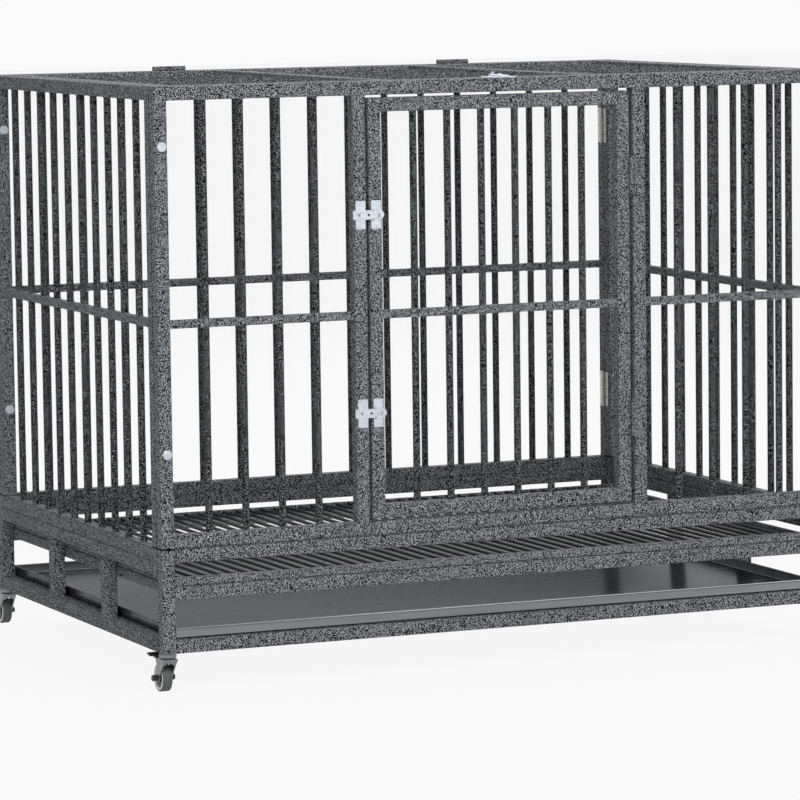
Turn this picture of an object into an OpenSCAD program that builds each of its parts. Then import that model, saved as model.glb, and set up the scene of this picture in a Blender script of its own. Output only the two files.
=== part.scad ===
// Heavy duty dog crate: a welded tube cage of four bolted panels on a rolling base,
// with a hinged front door, a hinged lid, slide latches, a floor grate and a pull-out tray.
// Millimetres, +Z up, front toward -Y, floor at Z = 0.

/* [Crate] */
// Width of the cage over its corner posts
crate_w = 1070; // [900:5:1250]
// Depth of the cage over its corner posts
crate_d = 740; // [640:5:860]
// Height of the rolling base frame
base_h = 150; // [140:1:180]
// Height of the front panel above the base
panel_h = 654; // [560:2:760]

/* [Tubes and bars] */
// Side of the square frame tube
tube = 20; // [19:0.5:24]
// Corner radius of the frame tube
tube_r = 2.5; // [1.5:0.1:3]
// Side of the square middle rail
mid_rail = 12; // [11.5:0.5:16]
// Corner radius of the middle rail
mid_rail_r = 1.5; // [0.5:0.1:2]
// Height of the middle rail's centre above the base frame
mid_rail_up = 318.5; // [280:0.5:360]
// Diameter of the cage bars
bar_d = 10.5; // [8:0.1:11]
// Bars in each of the two fixed parts of the front panel
front_bar_count = 4; // [3:1:5]
// Bars in the back panel
back_bar_count = 15; // [11:1:17]
// Bars in each end panel
end_bar_count = 10; // [8:1:12]
// Bars in the door
door_bar_count = 6; // [4:1:7]
// Bars in the lid
lid_bar_count = 10; // [8:1:12]
// Bays of the lid between its cross rails
lid_bay_count = 3; // [2:1:4]

/* [Door and lid] */
// Width of the doorway between its two posts
doorway_w = 426; // [380:2:480]
// Gap on the latch side of the door and of the lid
latch_gap = 4; // [3:0.1:5]
// Gap on the hinge side of the door and of the lid
hinge_gap = 6; // [5.5:0.1:6.4]
// Gap above and below the door
door_gap = 4; // [3:0.1:5]
// Gap beside each end of the lid
lid_end_gap = 4; // [2:0.1:5]

/* [Bullet hinges] */
// Outer diameter of a hinge barrel
hinge_d = 8.5; // [7.5:0.1:9]
// Length of a hinge
hinge_len = 53; // [40:1:70]
// Distance of the hinge axis in front of the tube's face
hinge_out = 3; // [2.8:0.1:4]
// Diameter of the hinge pin
hinge_pin_d = 4; // [3:0.1:5]
// Radial running clearance of the pins and axles
run_clear = 0.05; // [0.02:0.01:0.09]
// Gap between the two halves of a hinge
hinge_split = 0.3; // [0.2:0.05:1]
// Depth of the welded leaf behind the tube's face
leaf_in = 8; // [6:0.5:12]
// Clearance between the welded leaf and the hinge axis
leaf_clear = 0.3; // [0.2:0.05:0.6]
// Metal left above the blind bore of the sleeve
sleeve_cap = 6; // [5:0.5:9]
// Distance of the door hinges from the door's ends
door_hinge_inset = 124; // [80:1:170]
// Distance of the lid hinges from the lid's ends
lid_hinge_inset = 267; // [180:1:330]

/* [Slide latches] */
// Width of the latch plates
plate_w = 15; // [12:0.5:15]
// Height of the latch plates
plate_h = 41; // [36:1:50]
// Thickness of the latch plates
plate_t = 1.2; // [1:0.1:2.5]
// Corner radius of the latch plates
plate_r = 1.5; // [1:0.1:3]
// Length of the latch bar
latch_len = 48; // [46:0.5:54]
// Height of the latch bar
latch_h = 13.3; // [12:0.1:18]
// Thickness of the latch bar
latch_t = 2; // [1.5:0.1:3.5]
// Reach of the latch bar past the seam, on the keeper's side
latch_reach = 22.5; // [20:0.5:24]
// Clearance around the sliding latch bar
slide_clear = 0.3; // [0.2:0.05:0.6]
// Distance that the latch bar slides to lock
lock_travel = 3.5; // [3:0.1:5]
// Diameter of the keeper stud's head
stud_head_d = 4.6; // [4.2:0.1:6]
// Diameter of the keeper stud's neck
stud_neck_d = 2.6; // [2:0.1:3]
// Thickness of the keeper stud's head
stud_head_t = 1; // [0.8:0.1:2]
// Distance of the keeper stud from the seam
stud_back = 10; // [9:0.1:11]
// Diameter of the padlock hole
padlock_d = 3.6; // [3:0.1:5]
// Width of the two hooks that hold the latch bar
hook_w = 4; // [3:0.5:6]
// Thickness of the hooks
hook_t = 1.5; // [1:0.1:2.5]
// Reach of each hook over the edge of the latch bar
hook_lip = 2; // [1.5:0.1:3]
// Distance of the hooks past the door's edge
hook_in = 4.5; // [3:0.1:6]
// Diameter of the knob's head
knob_d = 6.3; // [5.5:0.1:7]
// Diameter of the knob's neck
knob_neck_d = 3.2; // [2.5:0.1:4]
// Height of the knob
knob_h = 4; // [3.5:0.1:6]
// Distance of the knob from the end of the latch bar
knob_in = 4.5; // [3.5:0.1:5]
// Drop of the upper latch below the top of the door
upper_latch_drop = 167; // [165:1:200]
// Rise of the lower latch above the bottom of the door
lower_latch_rise = 153.3; // [140:0.1:190]
// Distance of the lid latch to the right of the middle
lid_latch_off = 6; // [-20:1:20]

/* [Panel bolts] */
// Diameter of the panel bolts
bolt_d = 8; // [6:0.5:10]
// Width across flats of the bolt heads and nuts
bolt_flats = 13; // [12:0.5:15]
// Height of a bolt head
bolt_head_h = 5.3; // [4:0.1:7]
// Height of a nut
nut_h = 6.5; // [5:0.1:8]
// Thread that stands out past a nut
bolt_end = 2; // [0.5:0.1:4]
// Drop of the upper bolts below the top of the panels
upper_bolt_drop = 84.5; // [70:0.5:110]
// Rise of the lower bolts above the base frame
lower_bolt_rise = 135; // [125:0.5:160]

/* [Corner hinges] */
// Height of a corner hinge's leaves
corner_leaf_h = 56; // [45:1:70]
// Width of one leaf
corner_leaf_w = 14; // [11:0.5:16]
// Thickness of a leaf
corner_leaf_t = 1.6; // [1:0.1:2]
// Outer diameter of the knuckles
knuckle_d = 6; // [5.5:0.1:7]
// Diameter of the hinge pin
corner_pin_d = 3; // [2:0.1:3.4]
// Length of the hinge pin that stands out past each end of the leaves
corner_pin_end = 1.5; // [0.5:0.1:3]
// Gap between the knuckles, and beside them
knuckle_gap = 0.3; // [0.2:0.05:0.6]
// Diameter of the screw holes in a leaf
leaf_hole_d = 4; // [3:0.1:5]
// Drop of the upper corner hinges below the top of the panels
upper_corner_drop = 107; // [90:1:140]
// Rise of the lower corner hinges above the base frame
lower_corner_rise = 112; // [90:1:140]

/* [Floor grate] */
// Height of the gap between the grate and the base's top rail in front
grate_gap = 22; // [14:1:28]
// Side of the grate's front rail
grate_frame = 12; // [10:0.5:13]
// Corner radius of the grate's front rail
grate_frame_r = 1.5; // [0.5:0.1:2]
// Inset of the grate from the front face
grate_inset = 2; // [0:0.5:5]
// Clearance between the grate and the corner posts
grate_clear = 0.5; // [0.3:0.1:2]
// Side of the square bars at the grate's back and ends
grate_rim = 6; // [5:0.5:8]
// Corner radius of the square bars at the grate's back and ends
grate_rim_r = 0.5; // [0.2:0.1:1]
// Diameter of the grate bars
grate_bar_d = 6; // [4:0.5:6]
// Number of grate bars
grate_bar_count = 46; // [30:1:52]
// Side of the two rails under the grate's ends
shelf_side = 16; // [12:0.5:20]
// Corner radius of the two rails under the grate's ends
shelf_side_r = 2; // [1:0.1:2.5]

/* [Tray] */
// Height of the tray
tray_h = 16; // [10:1:24]
// Sheet thickness of the tray
tray_t = 1.2; // [0.8:0.1:2]
// Diameter of the rolled hem on the tray's edge
hem_d = 3; // [2.4:0.1:5]
// Clearance beside the tray
tray_clear = 1.5; // [0.5:0.1:4]
// Inset of the tray from the front and back faces
tray_inset = 6; // [1:0.5:8]
// Width of the two runners under the tray
runner_w = 12; // [8:0.5:20]
// Thickness of the runners
runner_t = 3; // [2:0.1:5]

/* [Casters] */
// Height of a caster
caster_h = 57; // [55:0.5:60]
// Diameter of a wheel
wheel_d = 40; // [37:0.5:42]
// Width of a wheel
wheel_w = 15; // [12:0.5:17]
// Thickness of the tyre
tyre_t = 4.5; // [3.5:0.1:6]
// Gap between the tyre and the hub's seat
tyre_seat = 0.05; // [0:0.01:0.1]
// Depth of the dish in each face of the hub
hub_dish = 2; // [1:0.1:3]
// Trail of the axle behind the swivel
trail = 20; // [17:0.5:22]
// Diameter of the axle
axle_d = 6; // [5:0.1:7]
// Width across flats of the axle's head and nut
axle_flats = 8; // [7:0.5:12]
// Height of the axle's head and nut
axle_head_h = 6.5; // [3:0.1:8]
// Gap between the wheel and each leg of the fork
leg_gap = 1; // [0.6:0.1:2]
// Thickness of a fork leg
leg_t = 2; // [1.5:0.1:3]
// Radius of a fork leg round the axle
leg_r = 7; // [6:0.1:8]
// Length of the skirt down the front of the fork
skirt_len = 13; // [8:0.5:16]
// Drop of the skirt's arch below the fork's crown
arch_drop = 3.3; // [1:0.1:5]
// Width of the arch at its top
arch_top = 3; // [1:0.1:6]
// Reach of the fork's crown ahead of the swivel
fork_front = 13; // [11:0.5:14]
// Height of the swivel race above the fork's crown
race_h = 1.7; // [1:0.1:2.5]
// Thickness of the fork's crown
crown_t = 3; // [2:0.1:3.5]
// Diameter of the swivel race
race_d = 22; // [18:0.5:24]
// Diameter of the fixed flange under the post
flange_d = 25; // [23:0.5:28]
// Thickness of the fixed flange
flange_t = 5; // [4:0.1:5.5]
// Gap between the flange and the swivel race
race_gap = 0.3; // [0.2:0.05:0.8]
// Diameter of the kingpin
kingpin_d = 6; // [5:0.1:8]
// Diameter of the kingpin's head
kingpin_head_d = 9; // [8:0.1:10]
// Thickness of the kingpin's head
kingpin_head_t = 1; // [0.8:0.1:1.5]
// Diameter of the stem in the post
stem_d = 8; // [6:0.5:10]
// Length of the stem in the post
stem_len = 30; // [20:1:45]
// Diameter of the brake pivot
pedal_pin_d = 3; // [2.5:0.1:4]
// Radius of the brake pedal's boss
pedal_boss_r = 3.5; // [3:0.1:4]
// Radius of the fork's ears round the brake pivot
ear_r = 4; // [3.5:0.1:4.5]
// Brake pivot ahead of the axle
pedal_pivot_ahead = 4; // [3:0.1:4.5]
// Height of the brake pivot's axis above the wheel
pedal_pivot_up = 4; // [3.9:0.1:4.5]
// Reach of the brake pedal behind its pivot
pedal_reach = 37; // [30:0.5:40]
// Rise of the pedal's tread above its pivot
pedal_rise = 4.5; // [3:0.1:5.5]
// Thickness of the brake pedal
pedal_t = 2.5; // [2:0.1:3]
// Width of the pedal's tread
pedal_w = 24; // [18:0.5:28]
// Length of the pedal's tread
pedal_tread = 12; // [8:0.5:14]
// Clearance of the pedal between the fork legs
pedal_clear = 0.5; // [0.3:0.1:1]
// Radius of the brake shoe
shoe_r = 1.5; // [1:0.1:1.7]
// Brake shoe behind the pivot
shoe_back = 10; // [9:0.1:11]
// Brake shoe below the pivot
shoe_drop = 1.2; // [0.8:0.1:1.3]

/* [Hidden] */
paint = "#63676b";
steel = "#9a9c9c";
zinc = "#d8dcdf";
black = "#242526";
grey_tread = "#8b8d8d";
white_rim = "#e4e4e2";
tray_grey = "#6b6d6f";
round_fn = 48;
cut = 1;

top_z = base_h + panel_h;
mid_z = base_h + mid_rail_up;
mid_lo = mid_z - mid_rail / 2;
mid_hi = mid_z + mid_rail / 2;
mid_in = (tube - mid_rail) / 2;
end_z = base_h - tube;
grate_z = base_h - tube - grate_gap - grate_frame;
shelf_z = grate_z - tube;

doorway_x0 = (crate_w - doorway_w) / 2;
doorway_x1 = doorway_x0 + doorway_w;
door_x0 = doorway_x0 + latch_gap;
door_x1 = doorway_x1 - hinge_gap;
door_z0 = base_h + tube + door_gap;
door_z1 = top_z - tube - door_gap;
door_hinge_zs = [door_z0 + door_hinge_inset, door_z1 - door_hinge_inset];
upper_latch_z = door_z1 - upper_latch_drop;
lower_latch_z = door_z0 + lower_latch_rise;

lid_x0 = tube + lid_end_gap;
lid_x1 = crate_w - lid_x0;
lid_y0 = tube + latch_gap;
lid_y1 = crate_d - tube - hinge_gap;
lid_hinge_xs = [lid_x0 + lid_hinge_inset, lid_x1 - lid_hinge_inset];

bolt_zs = [base_h + lower_bolt_rise, top_z - upper_bolt_drop];
bolt_ys = [0, crate_d - 2 * tube];
bolt_xs = [tube / 2, crate_w - tube / 2];
bolt_hole_d = bolt_d + 2 * run_clear;

bar_back = plate_t + slide_clear;
bar_face = bar_back + latch_t;
hook_under = bar_face + slide_clear;
slot_w = stud_neck_d + 2 * slide_clear;
keyhole_d = stud_head_d + 2 * slide_clear;
knob_x = latch_len - latch_reach - knob_in;

fork_w = wheel_w + 2 * (leg_gap + leg_t);
axle_z = wheel_d / 2;
race_top = caster_h - flange_t - race_gap;
crown_hi = race_top - race_h;
crown_lo = crown_hi - crown_t;
pedal_y = trail - pedal_pivot_ahead;
pedal_z = wheel_d + pedal_pivot_up;
caster_xs = [tube / 2, crate_w - tube / 2];
caster_ys = [tube / 2, crate_d - tube / 2];

reach_front = max(bar_face + knob_h, hinge_out + hinge_d / 2);
reach_back = pedal_y + pedal_reach - tube / 2;
mid_y = (crate_d + reach_back - reach_front) / 2;

// Centres of n bars that divide the clear span from a to b into equal parts
function spread(a, b, n) = [for (i = [1:n]) a + (b - a) * i / (n + 1)];

// Point where the tangent from p touches a circle round c, on the side given by s
function tangent(p, c, r, s) =
  let (d = c - p, far = norm(d), len = sqrt(far * far - r * r),
       a = atan2(d[1], d[0]) + s * asin(r / far))
  p + len * [cos(a), sin(a)];

// Cage frame: front left corner of the base at the origin, underside of the base at Z = 0
module cage() {
  translate([-crate_w / 2, -mid_y, caster_h]) children();
}

module rounded_rect(w, h, r) {
  square([w, h - 2 * r], center = true);
  square([w - 2 * r, h], center = true);
  for (x = [-1, 1], y = [-1, 1])
    translate([x * (w / 2 - r), y * (h / 2 - r)]) circle(r, $fn = round_fn);
}

// Square tubes with their lowest corner at the given place
module tube_x(x0, x1, y, z, s = tube, r = tube_r) {
  translate([x0, y + s / 2, z + s / 2]) rotate([90, 0, 90])
    linear_extrude(x1 - x0) rounded_rect(s, s, r);
}

module tube_y(y0, y1, x, z, s = tube, r = tube_r) {
  translate([x + s / 2, y1, z + s / 2]) rotate([90, 0, 0])
    linear_extrude(y1 - y0) rounded_rect(s, s, r);
}

module tube_z(z0, z1, x, y, s = tube, r = tube_r) {
  translate([x + s / 2, y + s / 2, z0]) linear_extrude(z1 - z0) rounded_rect(s, s, r);
}

// Round rods between two places along one axis
module rod_x(x0, x1, y, z, d) {
  translate([x0, y, z]) rotate([0, 90, 0]) cylinder(h = x1 - x0, d = d, $fn = round_fn);
}

module rod_y(y0, y1, x, z, d) {
  translate([x, y0, z]) rotate([-90, 0, 0]) cylinder(h = y1 - y0, d = d, $fn = round_fn);
}

module rod_z(z0, z1, x, y, d) {
  translate([x, y, z0]) cylinder(h = z1 - z0, d = d, $fn = round_fn);
}

// One cage bar in two lengths, welded to the rails above and below the middle rail
module bar_pair(x, y, z0, z1) {
  rod_z(z0, mid_lo, x, y, bar_d);
  rod_z(mid_hi, z1, x, y, bar_d);
}

// Bolt holes through a pair of uprights, from front to back
module bolt_holes() {
  for (x = bolt_xs, z = bolt_zs) rod_y(-cut, crate_d + cut, x, z, bolt_hole_d);
}

// Rolling base
module base_corner_posts() {
  color(paint) cage()
    for (x = caster_xs, y = caster_ys)
      difference() {
        tube_z(0, y < tube ? base_h : end_z, x - tube / 2, y - tube / 2);
        rod_z(-cut, stem_len, x, y, stem_d + 2 * run_clear);
      }
}

module base_long_rails() {
  color(paint) cage() {
    for (z = [0, shelf_z, base_h - tube]) tube_x(tube, crate_w - tube, 0, z);
    for (z = [0, shelf_z, end_z - tube]) tube_x(tube, crate_w - tube, crate_d - tube, z);
  }
}

// Side rails, with the rails inside the posts that carry the grate's ends
module base_side_rails() {
  color(paint) cage() {
    for (x = [0, crate_w - tube], z = [0, end_z - tube])
      tube_y(tube, crate_d - tube, x, z);
    for (x = [tube, crate_w - tube - shelf_side])
      tube_y(tube, crate_d - tube, x, grate_z - shelf_side, shelf_side, shelf_side_r);
  }
}

module base_side_posts() {
  color(paint) cage()
    for (x = [0, crate_w - tube], y = spread(tube, crate_d - tube, 2))
      tube_z(tube, end_z - tube, x, y - tube / 2);
}

// Flat strips inside the bottom side rails, level with their tops
module tray_runners() {
  color(paint) cage()
    for (x = [tube, crate_w - tube - runner_w])
      translate([x, tube, tube - runner_t]) cube([runner_w, crate_d - 2 * tube, runner_t]);
}

// Floor grate, laid on the shelf rails
grate_x0 = tube + grate_clear;
grate_x1 = crate_w - grate_x0;
grate_y0 = grate_inset + grate_frame;
grate_y1 = crate_d - tube;

module floor_grate_long_rails() {
  color(paint) cage() {
    tube_x(grate_x0, grate_x1, grate_inset, grate_z, grate_frame, grate_frame_r);
    tube_x(grate_x0, grate_x1, grate_y1, grate_z, grate_rim, grate_rim_r);
  }
}

module floor_grate_end_rails() {
  color(paint) cage()
    for (x = [grate_x0, grate_x1 - grate_rim])
      tube_y(grate_y0, grate_y1, x, grate_z, grate_rim, grate_rim_r);
}

module floor_grate_bars() {
  color(paint) cage()
    for (x = spread(grate_x0 + grate_rim, grate_x1 - grate_rim, grate_bar_count))
      rod_y(grate_y0, grate_y1, x, grate_z + grate_rim / 2, grate_bar_d);
}

// Front panel
module front_panel_uprights() {
  color(paint) cage() {
    difference() {
      for (x = [0, crate_w - tube]) tube_z(base_h, top_z, x, 0);
      bolt_holes();
    }
    for (x = [doorway_x0 - tube, doorway_x1]) tube_z(base_h + tube, top_z - tube, x, 0);
  }
}

module front_panel_rails() {
  color(paint) cage() {
    for (z = [base_h, top_z - tube]) tube_x(tube, crate_w - tube, 0, z);
    tube_x(tube, doorway_x0 - tube, mid_in, mid_lo, mid_rail, mid_rail_r);
    tube_x(doorway_x1 + tube, crate_w - tube, mid_in, mid_lo, mid_rail, mid_rail_r);
  }
}

module front_panel_bars() {
  left = spread(tube, doorway_x0 - tube, front_bar_count);
  right = spread(doorway_x1 + tube, crate_w - tube, front_bar_count);
  color(paint) cage()
    for (x = concat(left, right)) bar_pair(x, tube / 2, base_h + tube, top_z - tube);
}

// Back panel
module back_panel_uprights() {
  color(paint) cage()
    difference() {
      for (x = [0, crate_w - tube]) tube_z(end_z, top_z, x, crate_d - tube);
      bolt_holes();
    }
}

module back_panel_rails() {
  color(paint) cage() {
    for (z = [end_z, top_z - tube]) tube_x(tube, crate_w - tube, crate_d - tube, z);
    tube_x(tube, crate_w - tube, crate_d - tube + mid_in, mid_lo, mid_rail, mid_rail_r);
  }
}

module back_panel_bars() {
  color(paint) cage()
    for (x = spread(tube, crate_w - tube, back_bar_count))
      bar_pair(x, crate_d - tube / 2, end_z + tube, top_z - tube);
}

// Two end panels, set between the front and back panels
end_y0 = 2 * tube;
end_y1 = crate_d - 2 * tube;

module end_panel_uprights() {
  color(paint) cage()
    difference() {
      for (x = [0, crate_w - tube], y = [tube, end_y1]) tube_z(end_z, top_z, x, y);
      bolt_holes();
    }
}

module end_panel_rails() {
  color(paint) cage()
    for (x = [0, crate_w - tube]) {
      for (z = [end_z, top_z - tube]) tube_y(end_y0, end_y1, x, z);
      tube_y(end_y0, end_y1, x + mid_in, mid_lo, mid_rail, mid_rail_r);
    }
}

module end_panel_bars() {
  color(paint) cage()
    for (x = caster_xs, y = spread(end_y0, end_y1, end_bar_count))
      bar_pair(x, y, end_z + tube, top_z - tube);
}

// Hex bolts through each pair of uprights, heads to the front
module hex_y(y0, h, flats) {
  translate([0, y0, 0]) rotate([-90, 0, 0]) cylinder(h = h, d = flats / cos(30), $fn = 6);
}

module panel_bolts() {
  shank = 2 * tube + nut_h + bolt_end;
  color(zinc) cage()
    for (x = bolt_xs, y = bolt_ys, z = bolt_zs)
      translate([x, y, z]) {
        hex_y(-bolt_head_h, bolt_head_h, bolt_flats);
        rod_y(-cut, shank, 0, 0, bolt_d);
      }
}

module panel_nuts() {
  color(zinc) cage()
    for (x = bolt_xs, y = bolt_ys, z = bolt_zs)
      translate([x, y, z])
        difference() {
          hex_y(2 * tube, nut_h, bolt_flats);
          rod_y(2 * tube - cut, 2 * tube + nut_h + cut, 0, 0, bolt_hole_d);
        }
}

// Steel butt hinges inside the back corners, where an end panel meets the back panel
corner_zs = [base_h + lower_corner_rise, top_z - upper_corner_drop];
knuckle_h = (corner_leaf_h - 2 * knuckle_gap) / 3;

module at_corner_hinges() {
  for (side = [0, 1], z = corner_zs)
    translate([side * crate_w, crate_d - tube, z]) mirror([side, 0, 0])
      translate([tube, 0, -corner_leaf_h / 2]) children();
}

// One leaf: toward = 1 lies on the back panel and -1 on the end panel
module corner_leaf(toward, knuckles) {
  free = knuckle_d / 2 + knuckle_gap;
  difference() {
    union() {
      translate([0, toward > 0 ? free : -corner_leaf_w, 0])
        cube([corner_leaf_t, corner_leaf_w - free, corner_leaf_h]);
      for (k = knuckles)
        translate([0, 0, k * (knuckle_h + knuckle_gap)]) {
          translate([knuckle_d / 2, 0, 0])
            cylinder(h = knuckle_h, d = knuckle_d, $fn = round_fn);
          translate([0, toward > 0 ? 0 : -free, 0]) cube([corner_leaf_t, free, knuckle_h]);
        }
    }
    rod_z(-cut, corner_leaf_h + cut, knuckle_d / 2, 0, corner_pin_d + 2 * run_clear);
    for (z = spread(0, corner_leaf_h, 3))
      rod_x(-cut, corner_leaf_t + cut, toward * (free + corner_leaf_w) / 2, z, leaf_hole_d);
  }
}

module corner_hinge_leaves() {
  color(steel) cage() at_corner_hinges() {
    corner_leaf(1, [0, 2]);
    corner_leaf(-1, [1]);
  }
}

module corner_hinge_pins() {
  color(steel) cage() at_corner_hinges()
    rod_z(-corner_pin_end, corner_leaf_h + corner_pin_end, knuckle_d / 2, 0, corner_pin_d);
}

// Bullet hinge about Z: its face plane is at Y = hinge_out and its fixed side toward +X
module barrel(z0, z1) {
  rod_z(z0, z1, 0, 0, hinge_d);
}

// Leaf in the gap, welded to the side of its own tube: side = 1 is the fixed tube
module leaf(side, z0, z1) {
  leaf_t = hinge_gap / 2 - leaf_clear;
  translate([side > 0 ? leaf_clear : -hinge_gap / 2, 0, z0])
    cube([leaf_t, hinge_out + leaf_in, z1 - z0]);
}

hinge_half = hinge_len / 2;

module hinge_pin_half() {
  barrel(-hinge_half, -hinge_split / 2);
  leaf(1, -hinge_half, -hinge_split / 2);
  rod_z(-hinge_split, hinge_half - sleeve_cap - hinge_split, 0, 0, hinge_pin_d);
}

module hinge_sleeve_half() {
  difference() {
    union() {
      barrel(hinge_split / 2, hinge_half);
      leaf(-1, hinge_split / 2, hinge_half);
    }
    rod_z(-cut, hinge_half - sleeve_cap, 0, 0, hinge_pin_d + 2 * run_clear);
  }
}

// Turns a piece from the front face, where it points to -Y, to the top face
module onto_top() {
  rotate([-90, 0, 90]) children();
}

module at_door_hinges() {
  for (z = door_hinge_zs) translate([doorway_x1 - hinge_gap / 2, -hinge_out, z]) children();
}

module at_lid_hinges() {
  for (x = lid_hinge_xs)
    translate([x, crate_d - tube - hinge_gap / 2, top_z + hinge_out]) onto_top() children();
}

module door_hinge_pins() {
  color(paint) cage() at_door_hinges() hinge_pin_half();
}

module door_hinge_sleeves() {
  color(paint) cage() at_door_hinges() hinge_sleeve_half();
}

module lid_hinge_pins() {
  color(paint) cage() at_lid_hinges() hinge_pin_half();
}

module lid_hinge_sleeves() {
  color(paint) cage() at_lid_hinges() hinge_sleeve_half();
}

// Slide latch: face plane at Y = 0, seam edge of the fixed tube at X = 0, outward to -Y
module at_door_latch(z) {
  translate([doorway_x0, 0, z]) children();
}

module at_lid_latch() {
  translate([crate_w / 2 + lid_latch_off, tube, top_z]) onto_top() children();
}

module at_latches() {
  at_door_latch(upper_latch_z) children();
  at_door_latch(lower_latch_z) children();
  at_lid_latch() children();
}

// A flat plate from one distance outward to another
module slab(from, to) {
  translate([0, -from, 0]) rotate([90, 0, 0]) linear_extrude(to - from) children();
}

module latch_keepers() {
  color(zinc) cage() at_latches()
    slab(0, plate_t) translate([-tube / 2, 0]) rounded_rect(plate_w, plate_h, plate_r);
}

module latch_studs() {
  color(zinc) cage() at_latches() {
    slab(plate_t, hook_under + cut / 2)
      translate([-stud_back, 0]) circle(d = stud_neck_d, $fn = round_fn);
    slab(hook_under, hook_under + stud_head_t)
      translate([-stud_back, 0]) circle(d = stud_head_d, $fn = round_fn);
  }
}

// Plate on the moving frame, with two hooks over the edges of the latch bar
module latch_guide() {
  inner = latch_h / 2 + slide_clear;
  hook_x = latch_gap + hook_in;
  slab(0, plate_t)
    translate([latch_gap + tube / 2, 0]) rounded_rect(plate_w, plate_h, plate_r);
  for (side = [0, 1]) mirror([0, 0, side]) {
    translate([hook_x, -hook_under - hook_t, inner])
      cube([hook_w, hook_under + hook_t - plate_t / 2, hook_t]);
    translate([hook_x, -hook_under - hook_t, inner - hook_lip])
      cube([hook_w, hook_t, hook_lip + hook_t]);
  }
}

module latch_bar_outline() {
  end_r = latch_h / 2;
  flat_len = latch_len - end_r;
  difference() {
    union() {
      translate([flat_len / 2 - latch_reach, 0]) rounded_rect(flat_len, latch_h, plate_r);
      translate([0, -end_r]) square([flat_len - latch_reach, latch_h]);
      translate([flat_len - latch_reach, 0]) circle(end_r, $fn = round_fn);
    }
    translate([-stud_back, 0]) circle(d = keyhole_d, $fn = round_fn);
    translate([-stud_back - lock_travel, -slot_w / 2]) square([lock_travel, slot_w]);
    translate([-stud_back - lock_travel, 0]) circle(d = slot_w, $fn = round_fn);
    translate([latch_gap / 2, 0]) circle(d = padlock_d, $fn = round_fn);
  }
}

// Knob with a flared head, turned about the latch bar's outward direction
module knob() {
  flare = knob_h / 2;
  rim = knob_h / 6;
  translate([knob_x, -bar_face, 0]) rotate([90, 0, 0]) {
    translate([0, 0, -latch_t / 2])
      cylinder(h = latch_t / 2 + knob_h - flare, d = knob_neck_d, $fn = round_fn);
    translate([0, 0, knob_h - flare])
      cylinder(h = flare - rim, d1 = knob_neck_d, d2 = knob_d, $fn = round_fn);
    translate([0, 0, knob_h - rim]) cylinder(h = rim, d = knob_d, $fn = round_fn);
  }
}

module latch_bar() {
  slab(bar_back, bar_face) latch_bar_outline();
  knob();
}

module door_latch_guides() {
  color(zinc) cage() {
    at_door_latch(upper_latch_z) latch_guide();
    at_door_latch(lower_latch_z) latch_guide();
  }
}

module lid_latch_guide() {
  color(zinc) cage() at_lid_latch() latch_guide();
}

module upper_latch_bar() {
  color(zinc) cage() at_door_latch(upper_latch_z) latch_bar();
}

module lower_latch_bar() {
  color(zinc) cage() at_door_latch(lower_latch_z) latch_bar();
}

module lid_latch_bar() {
  color(zinc) cage() at_lid_latch() latch_bar();
}

// Door
module door_uprights() {
  color(paint) cage()
    for (x = [door_x0, door_x1 - tube]) tube_z(door_z0, door_z1, x, 0);
}

module door_rails() {
  color(paint) cage() {
    for (z = [door_z0, door_z1 - tube]) tube_x(door_x0 + tube, door_x1 - tube, 0, z);
    tube_x(door_x0 + tube, door_x1 - tube, mid_in, mid_lo, mid_rail, mid_rail_r);
  }
}

module door_bars() {
  color(paint) cage()
    for (x = spread(door_x0 + tube, door_x1 - tube, door_bar_count))
      bar_pair(x, tube / 2, door_z0 + tube, door_z1 - tube);
}

// Lid
lid_pitch = (lid_x1 - lid_x0 - tube) / lid_bay_count;

module lid_long_rails() {
  color(paint) cage()
    for (y = [lid_y0, lid_y1 - tube]) tube_x(lid_x0, lid_x1, y, top_z - tube);
}

module lid_cross_rails() {
  color(paint) cage()
    for (i = [0:lid_bay_count])
      tube_y(lid_y0 + tube, lid_y1 - tube, lid_x0 + i * lid_pitch, top_z - tube);
}

module lid_bars() {
  color(paint) cage()
    for (i = [0:lid_bay_count - 1], y = spread(lid_y0 + tube, lid_y1 - tube, lid_bar_count)) {
      x0 = lid_x0 + i * lid_pitch;
      rod_x(x0 + tube, x0 + lid_pitch, y, top_z - tube / 2, bar_d);
    }
}

// Pull-out tray, folded from sheet with a rolled hem
module tray() {
  x0 = tube + tray_clear + (hem_d - tray_t) / 2;
  y0 = tray_inset + (hem_d - tray_t) / 2;
  w = crate_w - 2 * x0;
  d = crate_d - 2 * y0;
  hem_z = tray_h - hem_d / 2;
  edge = tray_t / 2;
  color(tray_grey) cage() translate([x0, y0, tube]) {
    difference() {
      cube([w, d, hem_z]);
      translate([tray_t, tray_t, tray_t]) cube([w - 2 * tray_t, d - 2 * tray_t, tray_h]);
    }
    for (x = [edge, w - edge]) {
      rod_y(edge, d - edge, x, hem_z, hem_d);
      for (y = [edge, d - edge]) translate([x, y, hem_z]) sphere(d = hem_d, $fn = round_fn);
    }
    for (y = [edge, d - edge]) rod_x(edge, w - edge, y, hem_z, hem_d);
  }
}

// Casters: swivel axis at the origin of each, floor at Z = 0, wheel trailing to +Y
module at_caster(x, y) {
  translate([-crate_w / 2 + caster_xs[x], -mid_y + caster_ys[y], 0]) children();
}

module caster_stems() {
  color(steel)
    for (x = [0, 1], y = [0, 1]) at_caster(x, y) {
      rod_z(caster_h - flange_t, caster_h, 0, 0, flange_d);
      rod_z(caster_h - cut, caster_h + stem_len, 0, 0, stem_d);
      rod_z(crown_lo - race_gap - cut / 2, caster_h - cut, 0, 0, kingpin_d);
      rod_z(crown_lo - race_gap - kingpin_head_t, crown_lo - race_gap, 0, 0, kingpin_head_d);
    }
}

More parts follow.
